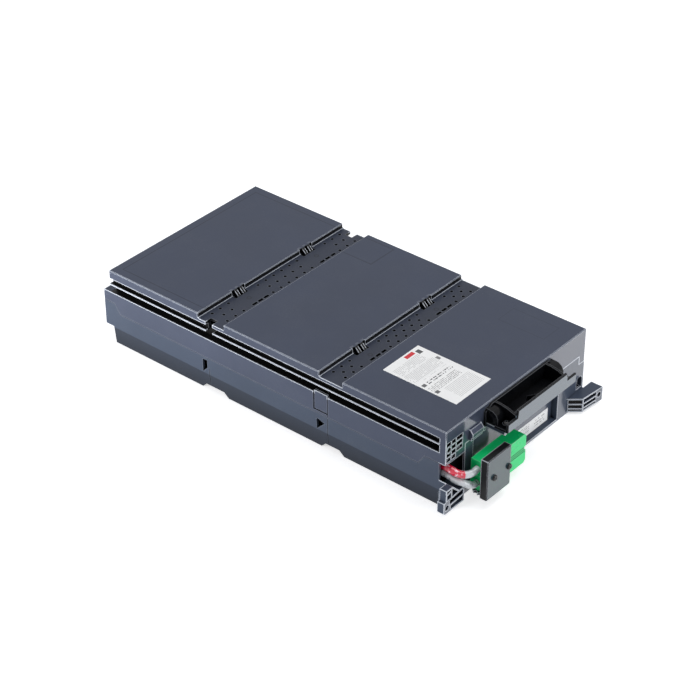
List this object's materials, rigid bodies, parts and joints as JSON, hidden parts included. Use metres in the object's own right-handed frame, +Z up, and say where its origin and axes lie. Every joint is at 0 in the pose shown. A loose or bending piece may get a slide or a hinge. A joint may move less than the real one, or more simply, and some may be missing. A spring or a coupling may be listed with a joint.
{
  "type": "ups battery cartridge",
  "caption": "Slide-in UPS battery cartridge: ribbed two-part plastic case, side rail grooves, front pull handle, two-pole power connector and mounting ears.",
  "frame": {"origin": "centre of the case's flat underside, midway along the lids and across the width", "axes": "+X to the handle and connector end, +Y to the side away from the leads, +Z up from the underside to the lids"},
  "size_m": [0.4527, 0.2375, 0.0843],
  "materials": {
    "charcoal_plastic": "satin",
    "black_plastic": "semi-gloss",
    "green_plastic": "semi-gloss",
    "battery_plastic": "matte",
    "tinned_brass": "satin",
    "boot_plastic": "satin",
    "wire_insulation": "satin",
    "red_insulation": "satin",
    "grey_sleeve": "semi-gloss",
    "fuse_plastic": "gloss",
    "black_steel": "satin",
    "label_film": "satin",
    "foam": "matte"
  },
  "bodies": {
    "root": {"lower_tray": "charcoal_plastic", "top_cover": "charcoal_plastic", "battery_1": "battery_plastic", "battery_2": "battery_plastic", "battery_3": "battery_plastic", "battery_4": "battery_plastic", "battery_5": "battery_plastic", "battery_6": "battery_plastic", "battery_terminals": "tinned_brass", "wire_terminals": "boot_plastic", "jumper_lead_1": "wire_insulation", "jumper_lead_2": "wire_insulation", "jumper_lead_3": "wire_insulation", "jumper_lead_4": "wire_insulation", "jumper_lead_5": "wire_insulation", "inline_fuse": "fuse_plastic", "positive_lead": "red_insulation", "negative_lead": "wire_insulation", "positive_marker": "red_insulation", "positive_sleeve": "grey_sleeve", "negative_sleeve": "grey_sleeve", "connector_housing_upper": "green_plastic", "connector_housing_lower": "green_plastic", "connector_contacts": "tinned_brass", "connector_bracket": "black_plastic", "bracket_screws": "black_steel", "handle": "black_plastic", "handle_screws": "black_steel", "rating_label": "label_film", "front_label": "label_film", "base_pads": "foam", "top_pads": "foam"}
  },
  "joints": []
}
